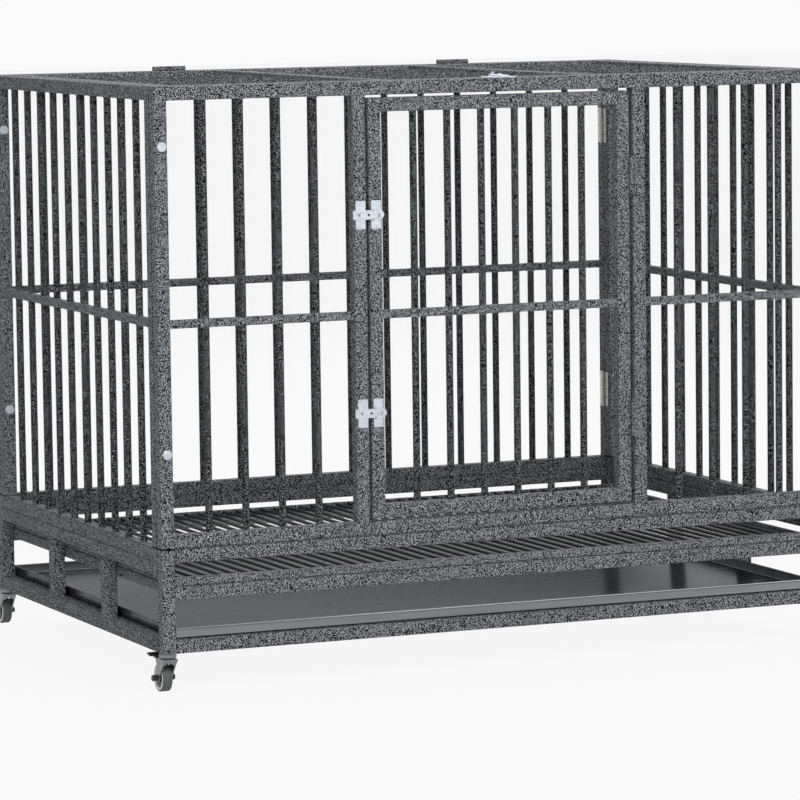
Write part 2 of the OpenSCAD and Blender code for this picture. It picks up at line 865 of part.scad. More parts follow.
// Side view of a fork leg, in (Y, Z)
module leg_outline() {
  axle = [trail, axle_z];
  front = [-fork_front, crown_hi];
  back = [race_d / 2, crown_hi];
  polygon([front, tangent(front, axle, leg_r, -1), axle, tangent(back, axle, leg_r, 1), back]);
  translate(axle) circle(leg_r, $fn = round_fn);
  translate([pedal_y, pedal_z]) circle(ear_r, $fn = round_fn);
  translate([0, pedal_z - ear_r]) square([pedal_y, ear_r + crown_hi - pedal_z]);
}

// A side view in (Y, Z), given a width along X about the middle
module across(w) {
  translate([-w / 2, 0, 0]) rotate([90, 0, 90]) linear_extrude(w) children();
}

// Sheet that joins the legs down the front of the fork, with an arch over the wheel
module fork_skirt() {
  inner_w = fork_w - 2 * leg_t;
  front = [-fork_front, crown_hi];
  toe = tangent(front, [trail, axle_z], leg_r, -1);
  run = (toe - front) / norm(toe - front);
  low = front + skirt_len * run;
  inward = [-leg_t / run[1], 0];
  arch_z = crown_lo - arch_drop;
  difference() {
    across(fork_w - leg_t) polygon([front, low, low + inward, front + inward]);
    rotate([90, 0, 0]) linear_extrude(2 * race_d, center = true)
      polygon([[-arch_top / 2, arch_z], [arch_top / 2, arch_z], [inner_w / 2, low[1] - cut],
               [-inner_w / 2, low[1] - cut]]);
  }
}

module fork() {
  difference() {
    union() {
      fork_skirt();
      rod_z(crown_lo, race_top, 0, 0, race_d);
      translate([-fork_w / 2, -fork_front, crown_lo])
        cube([fork_w, fork_front + race_d / 2, crown_t]);
      difference() {
        across(fork_w) leg_outline();
        across(fork_w - 2 * leg_t)
          translate([-trail - wheel_d, 0]) square([2 * trail + 3 * wheel_d, crown_lo]);
        across(fork_w - 2 * leg_t)
          translate([race_d / 2, 0]) square([trail + wheel_d, caster_h]);
      }
      rod_x(-fork_w / 2, fork_w / 2, pedal_y, pedal_z, pedal_pin_d);
    }
    rod_z(0, caster_h, 0, 0, kingpin_d + 2 * run_clear);
    rod_x(-fork_w, fork_w, trail, axle_z, axle_d + 2 * run_clear);
  }
}

module axle() {
  rod_x(-fork_w / 2 - cut, fork_w / 2 + cut, trail, axle_z, axle_d);
  for (side = [0, 1]) mirror([side, 0, 0])
    translate([fork_w / 2, trail, axle_z]) rotate([0, 90, 0])
      cylinder(h = axle_head_h, d = axle_flats / cos(30), $fn = 6);
}

// Moulded hub with dished faces
module wheel() {
  hub_r = wheel_d / 2 - tyre_t - tyre_seat;
  boss_r = axle_d / 2 + leg_t;
  rim_r = hub_r - tyre_t / 2;
  bore_r = axle_d / 2 + run_clear;
  half = wheel_w / 2;
  dish = half - hub_dish;
  translate([0, trail, axle_z]) rotate([0, 90, 0])
    rotate_extrude($fn = round_fn)
      polygon([[bore_r, -half], [boss_r, -half], [boss_r, -dish], [rim_r, -dish], [rim_r, -half],
               [hub_r, -half], [hub_r, half], [rim_r, half], [rim_r, dish], [boss_r, dish],
               [boss_r, half], [bore_r, half]]);
}

module tyre() {
  outer = wheel_d / 2;
  inner = outer - tyre_t;
  half = wheel_w / 2;
  bevel = tyre_t / 3;
  translate([0, trail, axle_z]) rotate([0, 90, 0])
    rotate_extrude($fn = round_fn)
      polygon([[inner, -half], [outer - bevel, -half], [outer, bevel - half],
               [outer, half - bevel], [outer - bevel, half], [inner, half]]);
}

// Brake pedal on the fork's cross pin, with a shoe over the tread
module pedal_strip(y0, y1) {
  slope = pedal_rise / pedal_reach;
  lift = pedal_boss_r - pedal_t;
  polygon([[y0, lift + slope * y0], [y1, lift + slope * y1], [y1, lift + pedal_t + slope * y1],
           [y0, lift + pedal_t + slope * y0]]);
}

module brake() {
  inner_w = wheel_w + 2 * leg_gap - 2 * pedal_clear;
  translate([0, pedal_y, pedal_z])
    difference() {
      union() {
        across(inner_w) {
          circle(pedal_boss_r, $fn = round_fn);
          pedal_strip(0, pedal_reach);
          translate([shoe_back, -shoe_drop]) circle(shoe_r, $fn = round_fn);
          polygon([[0, 0], [shoe_back - shoe_r, -shoe_drop], [shoe_back + shoe_r, -shoe_drop],
                   [shoe_back + shoe_r, pedal_t], [0, pedal_t]]);
        }
        across(pedal_w) pedal_strip(pedal_reach - pedal_tread, pedal_reach);
      }
      rod_x(-fork_w, fork_w, 0, 0, pedal_pin_d + 2 * run_clear);
    }
}

module front_left_fork() { color(steel) at_caster(0, 0) fork(); }
module front_left_axle() { color(black) at_caster(0, 0) axle(); }
module front_left_wheel() { color(white_rim) at_caster(0, 0) wheel(); }
module front_left_tyre() { color(grey_tread) at_caster(0, 0) tyre(); }
module front_left_brake() { color(black) at_caster(0, 0) brake(); }
module front_right_fork() { color(steel) at_caster(1, 0) fork(); }
module front_right_axle() { color(black) at_caster(1, 0) axle(); }
module front_right_wheel() { color(white_rim) at_caster(1, 0) wheel(); }
module front_right_tyre() { color(grey_tread) at_caster(1, 0) tyre(); }
module front_right_brake() { color(black) at_caster(1, 0) brake(); }
module back_left_fork() { color(steel) at_caster(0, 1) fork(); }
module back_left_axle() { color(black) at_caster(0, 1) axle(); }
module back_left_wheel() { color(white_rim) at_caster(0, 1) wheel(); }
module back_left_tyre() { color(grey_tread) at_caster(0, 1) tyre(); }
module back_left_brake() { color(black) at_caster(0, 1) brake(); }
module back_right_fork() { color(steel) at_caster(1, 1) fork(); }
module back_right_axle() { color(black) at_caster(1, 1) axle(); }
module back_right_wheel() { color(white_rim) at_caster(1, 1) wheel(); }
module back_right_tyre() { color(grey_tread) at_caster(1, 1) tyre(); }
module back_right_brake() { color(black) at_caster(1, 1) brake(); }

base_corner_posts();
base_long_rails();
base_side_rails();
base_side_posts();
tray_runners();
floor_grate_long_rails();
floor_grate_end_rails();
floor_grate_bars();
front_panel_uprights();
front_panel_rails();
front_panel_bars();
back_panel_uprights();
back_panel_rails();
back_panel_bars();
end_panel_uprights();
end_panel_rails();
end_panel_bars();
panel_bolts();
panel_nuts();
corner_hinge_leaves();
corner_hinge_pins();
door_hinge_pins();
lid_hinge_pins();
latch_keepers();
latch_studs();
caster_stems();
door_uprights();
door_rails();
door_bars();
door_hinge_sleeves();
door_latch_guides();
upper_latch_bar();
lower_latch_bar();
lid_long_rails();
lid_cross_rails();
lid_bars();
lid_hinge_sleeves();
lid_latch_guide();
lid_latch_bar();
tray();
front_left_fork();
front_left_axle();
front_left_wheel();
front_left_tyre();
front_left_brake();
front_right_fork();
front_right_axle();
front_right_wheel();
front_right_tyre();
front_right_brake();
back_left_fork();
back_left_axle();
back_left_wheel();
back_left_tyre();
back_left_brake();
back_right_fork();
back_right_axle();
back_right_wheel();
back_right_tyre();
back_right_brake();
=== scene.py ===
import math

import bpy
import numpy as np
from mathutils import Matrix, Vector


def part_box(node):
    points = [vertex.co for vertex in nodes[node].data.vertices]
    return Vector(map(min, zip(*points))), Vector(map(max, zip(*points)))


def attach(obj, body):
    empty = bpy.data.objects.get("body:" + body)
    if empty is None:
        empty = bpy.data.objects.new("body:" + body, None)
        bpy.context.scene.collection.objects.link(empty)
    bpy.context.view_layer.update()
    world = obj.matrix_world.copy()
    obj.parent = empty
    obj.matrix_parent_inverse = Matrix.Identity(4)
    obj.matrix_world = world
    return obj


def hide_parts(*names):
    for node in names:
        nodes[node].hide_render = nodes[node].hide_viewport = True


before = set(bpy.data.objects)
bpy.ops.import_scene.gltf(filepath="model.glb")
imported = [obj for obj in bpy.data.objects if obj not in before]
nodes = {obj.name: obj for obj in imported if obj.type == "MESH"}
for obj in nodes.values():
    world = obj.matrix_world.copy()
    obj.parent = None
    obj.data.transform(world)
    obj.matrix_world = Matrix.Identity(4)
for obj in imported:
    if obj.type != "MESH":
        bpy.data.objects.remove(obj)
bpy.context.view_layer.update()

# Camera: a long lens from the front left, a little above the crate's top, so that the front
# and the left end both show. Place and angles were fitted to the straight tubes of the crate.
FOCAL_PIXELS = 4413.44
IMAGE_PIXELS = 800
SENSOR_MM = 36.0
FARTHEST = 60.0
CAMERA_PLACE = Vector((-2.67319, -6.20054, 1.05958))
YAW = 0.40737
PITCH = 0.10366
ROLL = -0.01302

scene = bpy.context.scene
scene.view_settings.view_transform = "Standard"
forward = Vector((math.sin(YAW) * math.cos(PITCH), math.cos(YAW) * math.cos(PITCH), -math.sin(PITCH)))
level_right = Vector((math.cos(YAW), -math.sin(YAW), 0))
level_up = level_right.cross(forward)
right = math.cos(ROLL) * level_right + math.sin(ROLL) * level_up
up = math.cos(ROLL) * level_up - math.sin(ROLL) * level_right
camera_data = bpy.data.cameras.new("studio_camera")
camera_data.sensor_width = SENSOR_MM
camera_data.lens = FOCAL_PIXELS * SENSOR_MM / IMAGE_PIXELS
camera_data.clip_end = FARTHEST
camera = bpy.data.objects.new("studio_camera", camera_data)
camera_turn = Matrix((right, up, -forward)).transposed().to_4x4()
camera.matrix_world = Matrix.Translation(CAMERA_PLACE) @ camera_turn
scene.collection.objects.link(camera)
scene.camera = camera

# Floor and studio light: a pale seamless floor, a softbox on each side in front, one high behind
# and a large one overhead, in an even white room. The room and most of the floor look white to
# the eye and in mirrors; the floor still takes the crate's soft shadow.
FLOOR_HALF = 30.0
FLOOR_WHITE = "#f4f4f4"
FLOOR_GLOW = 0.95
PAPER_WHITE = 0.96
ROOM_LEVEL = 0.16
PURE_WHITE = "#ffffff"
SOFTBOXES = {
    # Each has its place, the point it faces, the length of its side in metres and its watts.
    "left_softbox": ((-1.9, -3.6, 2.5), (0.0, -0.2, 0.4), 2.6, 90.0),
    "right_softbox": ((2.4, -3.6, 2.3), (0.0, -0.2, 0.4), 2.6, 55.0),
    "back_softbox": ((1.6, 3.2, 3.4), (0.0, 0.2, 0.4), 2.6, 95.0),
    "overhead_softbox": ((0.2, 0.0, 3.6), (0.0, 0.0, 0.5), 4.4, 30.0),
}


def linear(code):
    """Linear colour of an sRGB hex value."""
    parts = [int(code[i:i + 2], 16) / 255 for i in (1, 3, 5)]
    return tuple(p / 12.92 if p <= 0.04045 else ((p + 0.055) / 1.055) ** 2.4 for p in parts) + (1.0,)


def add(tree, kind, sockets=None, stops=(), **settings):
    """Adds one node: a socket takes a value or a link, and stops are a ramp's places and colours."""
    node = tree.nodes.new(kind)
    for name, value in settings.items():
        setattr(node, name, value)
    for index, (place, colour) in enumerate(stops):
        elements = node.color_ramp.elements
        element = elements[index] if index < len(elements) else elements.new(place)
        element.position = place
        element.color = linear(colour)
    for name, value in (sockets or {}).items():
        if isinstance(value, bpy.types.NodeSocket):
            tree.links.new(value, node.inputs[name])
        else:
            node.inputs[name].default_value = value
    return node


def seen_directly(tree):
    """1 for what the camera sees straight on, in a mirror or through glass, and 0 for plain light."""
    path = add(tree, "ShaderNodeLightPath")
    seen = path.outputs["Is Camera Ray"]
    for kind in ("Is Glossy Ray", "Is Transmission Ray"):
        either = add(tree, "ShaderNodeMath", {0: seen, 1: path.outputs[kind]}, operation="MAXIMUM")
        seen = either.outputs[0]
    return seen


world = bpy.data.worlds.new("white_studio")
world.use_nodes = True
tree = world.node_tree
tree.nodes.clear()
room = add(tree, "ShaderNodeMapRange", {"Value": seen_directly(tree), "To Min": ROOM_LEVEL,
                                        "To Max": PAPER_WHITE})
sky = add(tree, "ShaderNodeBackground", {"Strength": room.outputs[0], "Color": linear(PURE_WHITE)})
add(tree, "ShaderNodeOutputWorld", {"Surface": sky.outputs[0]})
scene.world = world

floor_mesh = bpy.data.meshes.new("studio_floor")
floor_corners = [(x * FLOOR_HALF, y * FLOOR_HALF, 0) for x, y in ((-1, -1), (1, -1), (1, 1), (-1, 1))]
floor_mesh.from_pydata(floor_corners, [], [(0, 1, 2, 3)])
floor = bpy.data.objects.new("studio_floor", floor_mesh)
scene.collection.objects.link(floor)

# Seamless paper: matt and even, so it shows nothing but the soft shadow.
floor_paper = bpy.data.materials.new("seamless_paper")
floor_paper.use_nodes = True
tree = floor_paper.node_tree
tree.nodes.clear()
matt = add(tree, "ShaderNodeBsdfDiffuse", {"Color": linear(FLOOR_WHITE)})
glow = add(tree, "ShaderNodeEmission", {"Color": linear(PURE_WHITE), "Strength": PAPER_WHITE})
share = add(tree, "ShaderNodeMath", {0: seen_directly(tree), 1: FLOOR_GLOW}, operation="MULTIPLY")
paper = add(tree, "ShaderNodeMixShader", {0: share.outputs[0], 1: matt.outputs[0], 2: glow.outputs[0]})
add(tree, "ShaderNodeOutputMaterial", {"Surface": paper.outputs[0]})
floor_mesh.materials.append(floor_paper)

for name, (place, target, size, watts) in SOFTBOXES.items():
    lamp_data = bpy.data.lights.new(name, "AREA")
    lamp_data.size = size
    lamp_data.energy = watts
    lamp = bpy.data.objects.new(name, lamp_data)
    lamp.location = place
    lamp.rotation_euler = (Vector(target) - Vector(place)).to_track_quat("-Z", "Y").to_euler()
    scene.collection.objects.link(lamp)

# Rolling base: corner posts, long rails and side rails of 20 mm square steel tube, MIG welded
# and then coated with the rest of the cage in one grey silver-vein powder coat.
BASE_NODES = ("base_corner_posts", "base_long_rails", "base_side_rails", "base_side_posts", "tray_runners")
FULL_FLECKS = 1.0
# Half width and colour of the painted shade laid along the joints between tubes.
SEAM_HALF = 0.0012
SEAM_SHADE = "#08090a"
SIDE_FACE = 0.7
COAT_IOR = 1.5
POWDER_GLOSS = 0.06
POWDER_RELIEF = 0.25
POWDER_HEIGHT = 0.0004
FLECK_ROUGH = 0.5
GROUND_ROUGH = 0.7
# The flecks of the real coat are under 1 mm: they are drawn a little coarser, so that they show.
FLECK_MM = 1.2
# Colours from a fleck's middle out to the ground, each at a share of the distance between flecks.
FLECK_STOPS = ((0.25, "#f0f5f9"), (0.36, "#8f969c"), (0.47, "#2c3034"), (0.57, "#040505"))
FLECK_TOP = 0.2
FLECK_FOOT = 0.65


def start_material(name):
    """A new material's node tree with its shader already on the output."""
    material = bpy.data.materials.new(name)
    material.use_nodes = True
    material.node_tree.nodes.clear()
    shader = add(material.node_tree, "ShaderNodeBsdfPrincipled")
    add(material.node_tree, "ShaderNodeOutputMaterial", {"Surface": shader.outputs[0]})
    return material, material.node_tree, shader


def coat(material, names):
    """Gives CAD nodes their finish."""
    for name in names:
        mesh = nodes[name].data
        mesh.materials.clear()
        mesh.materials.append(material)


# Silver-vein powder coat: a dark ground between raised paler metallic flecks, so each face sparkles
# in small light and dark points. Along the joints between the base and the panels, and between the
# front and end panels, a near-black line of painted shade stands in for the shadow in the groove.
def vein_coat(name, fleck_size, joints):
    """The powder coat: its flecks at a share of their full size, with painted shade along joints at (axis,
    place).
    """
    material, tree, shader = start_material(name)
    surface = add(tree, "ShaderNodeTexCoord")
    spot = surface.outputs["Object"]
    net = add(tree, "ShaderNodeTexVoronoi", {"Vector": spot, "Scale": 1000 / FLECK_MM})
    stops = [(place * fleck_size, colour) for place, colour in FLECK_STOPS]
    veins = add(tree, "ShaderNodeValToRGB", {0: net.outputs[0]}, stops)
    place = add(tree, "ShaderNodeSeparateXYZ", {0: spot})
    facing = add(tree, "ShaderNodeVectorMath", {0: surface.outputs["Normal"]}, operation="ABSOLUTE")
    facing = add(tree, "ShaderNodeSeparateXYZ", {0: facing.outputs[0]})
    seam_shaded = veins.outputs[0]
    # Painted shade: a near-black line on the faces beside each joint, standing in for the groove's shadow.
    for axis, joint in joints:
        near = add(tree, "ShaderNodeMath", {0: place.outputs[axis], 1: joint, 2: SEAM_HALF},
                   operation="COMPARE")
        across = add(tree, "ShaderNodeMath", {0: facing.outputs[axis], 1: SIDE_FACE}, operation="LESS_THAN")
        seam = add(tree, "ShaderNodeMath", {0: near.outputs[0], 1: across.outputs[0]}, operation="MULTIPLY")
        lined = add(tree, "ShaderNodeMixRGB", {0: seam.outputs[0], 1: seam_shaded, 2: linear(SEAM_SHADE)})
        seam_shaded = lined.outputs[0]
    tree.links.new(seam_shaded, shader.inputs["Base Color"])
    sheen = add(tree, "ShaderNodeMapRange", {"Value": net.outputs[0], "From Min": FLECK_TOP,
                                             "From Max": FLECK_FOOT, "To Min": FLECK_ROUGH,
                                             "To Max": GROUND_ROUGH})
    tree.links.new(sheen.outputs[0], shader.inputs["Roughness"])
    relief = add(tree, "ShaderNodeBump", {"Height": net.outputs[0], "Strength": POWDER_RELIEF,
                                          "Distance": POWDER_HEIGHT}, invert=True)
    tree.links.new(relief.outputs[0], shader.inputs["Normal"])
    shader.inputs["IOR"].default_value = COAT_IOR
    shader.inputs["Specular IOR Level"].default_value = POWDER_GLOSS
    return material


# Where the panels stand on the base and the end panels meet the front: painted shade runs along these
# joints.
panel_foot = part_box("front_panel_rails")[0][2]
front_panel_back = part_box("front_panel_uprights")[1][1]
frame_joints = (("Z", panel_foot), ("Y", front_panel_back))
silver_vein = vein_coat("silver_vein_powder_coat", FULL_FLECKS, frame_joints)
coat(silver_vein, BASE_NODES)

# Floor grate: 6 mm rods welded between a 12 mm square tube in front and a square bar behind, laid
# on the shelf rails. The frame has the same powder coat, with a line of painted shade where it meets
# the shelf rails; the drawn rods are dipped and smoother.
ROD_DARK = "#121315"
ROD_GREY = "#2b2d30"
ROD_PATCH_MM = 3.0
ROD_BAND = (0.4, 0.65)
ROD_ROUGH = (0.18, 0.3)
ROD_GLOSS = 0.15
PATCH_BAND = (0.35, 0.65)
PATCH_DETAIL = 3.0
PATCH_HEIGHT = 0.0002
EVEN = (1.0, 1.0, 1.0)


def mottled(name, dark, light, patch_mm, rough, metallic, band=PATCH_BAND, detail=PATCH_DETAIL,
            stretch=EVEN, relief=0.0):
    """A finish whose colour and gloss vary in small patches: its material and its shader."""
    material, tree, shader = start_material(name)
    spot = add(tree, "ShaderNodeTexCoord").outputs["Object"]
    along = add(tree, "ShaderNodeMapping", {"Vector": spot, "Scale": stretch})
    patch = add(tree, "ShaderNodeTexNoise", {"Vector": along.outputs[0], "Scale": 1000 / patch_mm,
                                             "Detail": detail})
    tone = add(tree, "ShaderNodeValToRGB", {0: patch.outputs[0]}, zip(band, (dark, light)))
    tree.links.new(tone.outputs[0], shader.inputs["Base Color"])
    gloss = add(tree, "ShaderNodeMapRange", {"Value": patch.outputs[0], "To Min": rough[0],
                                             "To Max": rough[1]})
    tree.links.new(gloss.outputs[0], shader.inputs["Roughness"])
    if relief:
        bump = add(tree, "ShaderNodeBump", {"Height": patch.outputs[0], "Strength": relief,
                                            "Distance": PATCH_HEIGHT})
        tree.links.new(bump.outputs[0], shader.inputs["Normal"])
    shader.inputs["Metallic"].default_value = metallic
    return material, shader


# Painted shade runs along the foot of the grate frame, where it sits on the shelf rails.
grate_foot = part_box("floor_grate_long_rails")[0][2]
grate_vein = vein_coat("silver_vein_on_grate_frame", FULL_FLECKS, (("Z", grate_foot),))
coat(grate_vein, ("floor_grate_long_rails", "floor_grate_end_rails"))

# Dipped coat on drawn rod: near black with faint paler patches, smooth enough for a thin bright
# line of light along each rod.
rod_coat, shader = mottled("dipped_rod_coat", ROD_DARK, ROD_GREY, ROD_PATCH_MM, ROD_ROUGH, metallic=0.0,
                           band=ROD_BAND)
shader.inputs["IOR"].default_value = COAT_IOR
shader.inputs["Specular IOR Level"].default_value = ROD_GLOSS
coat(rod_coat, ("floor_grate_bars",))

# Cage panels: front, back and two ends, each of 20 mm tube uprights and rails, a 12 mm middle
# rail and round bars, all welded; the front panel leaves the doorway between two posts.
PANELS = ("front", "back", "end")
# Share of the flecks kept on round bars: the smaller share darkens them as painted shade.
BAR_SHADE_FLECKS = 0.755
coat(silver_vein, [f"{side}_panel_{kind}" for side in PANELS for kind in ("uprights", "rails")])

# The same powder coat on round bar, painted darker: its smaller flecks are painted shade, standing in
# for the shade on bars that curve away from the light and sit deep in the cage.
shaded_bar_vein = vein_coat("silver_vein_painted_darker_on_round_bar", BAR_SHADE_FLECKS, ())
coat(shaded_bar_vein, [side + "_panel_bars" for side in PANELS])

# Door and lid: welded frames like the panels, hung on bullet hinges whose leaves are welded to
# the tubes. The hinges go through the powder coat with their frames.
DOOR_NODES = ("door_uprights", "door_rails", "door_hinge_sleeves", "door_hinge_pins")
LID_NODES = ("lid_long_rails", "lid_cross_rails", "lid_hinge_sleeves", "lid_hinge_pins")
coat(silver_vein, DOOR_NODES + LID_NODES)
# The bars of the door and lid take the same darker copy: painted shade.
coat(shaded_bar_vein, ("door_bars", "lid_bars"))

# Weld beads: a rippled ring of weld metal round the end of each round bar, and a short bead in
# each inside corner where a rail meets an upright, laid before the frames are coated.
BEAD_RADIUS = 0.0010
BEAD_SIDES = 6
RING_STEPS = 20
CORNER_STEPS = 10
CORNER_SPAN = 0.8
CORNER_PROBE = 0.001
CORNER_REACH = 0.003
RIPPLE = 0.16
BEAD_SMOOTH = 60
WELDED_FRAMES = {
    "base": ("crate", ("base_corner_posts", "base_long_rails", "base_side_rails", "base_side_posts"), ()),
    "grate": ("crate", ("floor_grate_long_rails", "floor_grate_end_rails"), ("floor_grate_bars",)),
    "front": ("crate", ("front_panel_uprights", "front_panel_rails"), ("front_panel_bars",)),
    "back": ("crate", ("back_panel_uprights", "back_panel_rails"), ("back_panel_bars",)),
    "ends": ("crate", ("end_panel_uprights", "end_panel_rails"), ("end_panel_bars",)),
    "door": ("door", ("door_uprights", "door_rails"), ("door_bars",)),
    "lid": ("lid", ("lid_long_rails", "lid_cross_rails"), ("lid_bars",)),
}


def solids(name):
    """Low and high corners of each separate solid of a CAD node."""
    mesh = nodes[name].data
    points = np.empty(len(mesh.vertices) * 3)
    mesh.vertices.foreach_get("co", points)
    points = points.reshape(-1, 3)
    _, same = np.unique(points.round(6), axis=0, return_inverse=True)
    edges = np.empty(len(mesh.edges) * 2, dtype=int)
    mesh.edges.foreach_get("vertices", edges)
    edges = same.ravel()[edges].reshape(-1, 2)
    label = np.arange(same.max() + 1)
    while True:
        least = label[edges].min(axis=1)
        spread = label.copy()
        np.minimum.at(spread, edges[:, 0], least)
        np.minimum.at(spread, edges[:, 1], least)
        spread = spread[spread]
        if (spread == label).all():
            break
        label = spread
    owner = label[same.ravel()]
    return [(points[owner == k].min(axis=0), points[owner == k].max(axis=0)) for k in np.unique(owner)]


def bead(path, axis, closed):
    """Rippled round bead along a path that lies square to the axis: its points and faces."""
    path = np.array(path)
    count = len(path)
    ahead = np.roll(path, -1, axis=0) - np.roll(path, 1, axis=0) if closed else np.gradient(path, axis=0)
    ahead /= np.linalg.norm(ahead, axis=1)[:, None]
    side = np.cross(ahead, axis)
    turn = np.arange(BEAD_SIDES) * 2 * np.pi / BEAD_SIDES
    size = BEAD_RADIUS * (1 + RIPPLE * np.cos(np.pi * np.arange(count)))
    points = [path[i] + size[i] * (np.cos(a) * np.array(axis) + np.sin(a) * side[i])
              for i in range(count) for a in turn]
    faces = [(i * BEAD_SIDES + j, i * BEAD_SIDES + (j + 1) % BEAD_SIDES,
              (i + 1) % count * BEAD_SIDES + (j + 1) % BEAD_SIDES, (i + 1) % count * BEAD_SIDES + j)
             for i in range(count if closed else count - 1) for j in range(BEAD_SIDES)]
    return points, faces


def build(name, parts, material, angle=40):
    """One object from lists of points and faces, smooth up to an angle in degrees."""
    points = []
    faces = []
    for some_points, some_faces in parts:
        faces += [tuple(k + len(points) for k in face) for face in some_faces]
        points += [tuple(point) for point in some_points]
    mesh = bpy.data.meshes.new(name)
    mesh.from_pydata(points, [], faces)
    mesh.polygons.foreach_set("use_smooth", [True] * len(mesh.polygons))
    mesh.set_sharp_from_angle(angle=math.radians(angle))
    mesh.materials.append(material)
    piece = bpy.data.objects.new(name, mesh)
    scene.collection.objects.link(piece)
    return piece


for frame_name, (body, tubes, bars) in WELDED_FRAMES.items():
    beads = []
    boxes = [corners for name in tubes for corners in solids(name)]
    for low, high in [corners for name in bars for corners in solids(name)]:
        along = int(np.argmax(high - low))
        first, second = [k for k in range(3) if k != along]
        radius = (high - low)[first] / 2
        for end in (low[along], high[along]):
            ring = np.empty((RING_STEPS, 3))
            turn = np.arange(RING_STEPS) * 2 * np.pi / RING_STEPS
            ring[:, along] = end
            ring[:, first] = (low + high)[first] / 2 + radius * np.cos(turn)
            ring[:, second] = (low + high)[second] / 2 + radius * np.sin(turn)
            beads.append(bead(ring, np.eye(3)[along], True))
    for low, high in boxes:
        along = int(np.argmax(high - low))
        middle = (low + high) / 2
        for end, outward in ((low[along], -1), (high[along], 1)):
            for side in [k for k in range(3) if k != along]:
                across = 3 - along - side
                half = (high - low)[side] / 2
                for sign in (-1, 1):
                    probe = middle.copy()
                    probe[along] = end + outward * CORNER_PROBE
                    probe[side] += sign * (half + CORNER_REACH)
                    if not any((probe > other[0]).all() and (probe < other[1]).all() for other in boxes):
                        continue
                    line = np.tile(middle, (CORNER_STEPS, 1))
                    line[:, along] = end
                    line[:, side] += sign * half
                    line[:, across] += np.linspace(-CORNER_SPAN, CORNER_SPAN, CORNER_STEPS) * half
                    beads.append(bead(line, np.eye(3)[along], False))
    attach(build(frame_name + "_weld_beads", beads, silver_vein, BEAD_SMOOTH), body)

# Latches: stamped plates, a headed stud and a sliding bar with a knob and a padlock hole, all
# of mild steel with bright zinc plate, spot welded to the coated tubes.
LATCH_NODES = ("latch_keepers", "latch_studs", "door_latch_guides", "lid_latch_guide",
               "upper_latch_bar", "lower_latch_bar", "lid_latch_bar")
ZINC_PALE = "#ccd2da"
ZINC_CLOUD = "#b9c0c9"
ZINC_ROUGH = (0.36, 0.5)
CLOUD_MM = 5.0
STAMPED_EDGE = 0.0004
SAME_POINT = 0.00001
EASE_STEPS = 2
EASE_ANGLE = 40


def ease_edges(names, width):
    """Rounds the sharp edges of CAD nodes with modifiers."""
    for name in names:
        weld = nodes[name].modifiers.new("joined", "WELD")
        weld.merge_threshold = SAME_POINT
        ease = nodes[name].modifiers.new("eased", "BEVEL")
        ease.width = width
        ease.segments = EASE_STEPS
        ease.limit_method = "ANGLE"
        ease.angle_limit = math.radians(EASE_ANGLE)
        ease.harden_normals = True


# Bright zinc plate: a cool white metal with faint cloudy patches and a soft mirror sheen.
zinc, shader = mottled("bright_zinc_plate", ZINC_CLOUD, ZINC_PALE, CLOUD_MM, ZINC_ROUGH, metallic=1.0)
coat(zinc, LATCH_NODES)
ease_edges(LATCH_NODES, STAMPED_EDGE)

# Panel bolts: M8 hex bolts with chamfered heads and rolled threads, and a plain nut on each, of
# the same zinc plated steel. They clamp each corner pair of uprights from front to back.
BOLT_D = 0.008
BOLT_FLATS = 0.013
BOLT_HEAD = 0.0053
THREADED = 0.022
THREAD_PITCH = 0.00125
THREAD_DEPTH = 0.0006
THREAD_END = 0.001
CHAMFER = math.radians(30)
FACE_SHARE = 0.94
HEX_SMOOTH = 25
TURN_STEPS = 48


def lathe(profile, place, along, hexagon=None, ring=False):
    """Turns (radius, distance) pairs about an axis; a row in hexagon is a hex, with its chamfer's sign."""
    turn = np.arange(TURN_STEPS) * 2 * np.pi / TURN_STEPS
    rows = len(profile)
    points = np.tile(np.array(place, dtype=float), (rows * TURN_STEPS, 1))
    for row, (radius, distance) in enumerate(profile):
        span = slice(row * TURN_STEPS, (row + 1) * TURN_STEPS)
        reach = np.full(TURN_STEPS, radius)
        points[span, along] += distance
        if hexagon and row in hexagon:
            reach = radius / np.cos((turn + np.pi / 6) % (np.pi / 3) - np.pi / 6)
            points[span, along] += (reach - radius * FACE_SHARE) * math.tan(CHAMFER) * hexagon[row]
        points[span, (along + 1) % 3] += reach * np.cos(turn)
        points[span, (along + 2) % 3] += reach * np.sin(turn)
    faces = []
    for row in range(rows if ring else rows - 1):
        this = row * TURN_STEPS
        following = (row + 1) % rows * TURN_STEPS
        faces += [(this + k, this + (k + 1) % TURN_STEPS, following + (k + 1) % TURN_STEPS, following + k)
                  for k in range(TURN_STEPS)]
    if not ring:
        faces.append(tuple(range(TURN_STEPS))[::-1])
        faces.append(tuple(range((rows - 1) * TURN_STEPS, rows * TURN_STEPS)))
    return points, faces


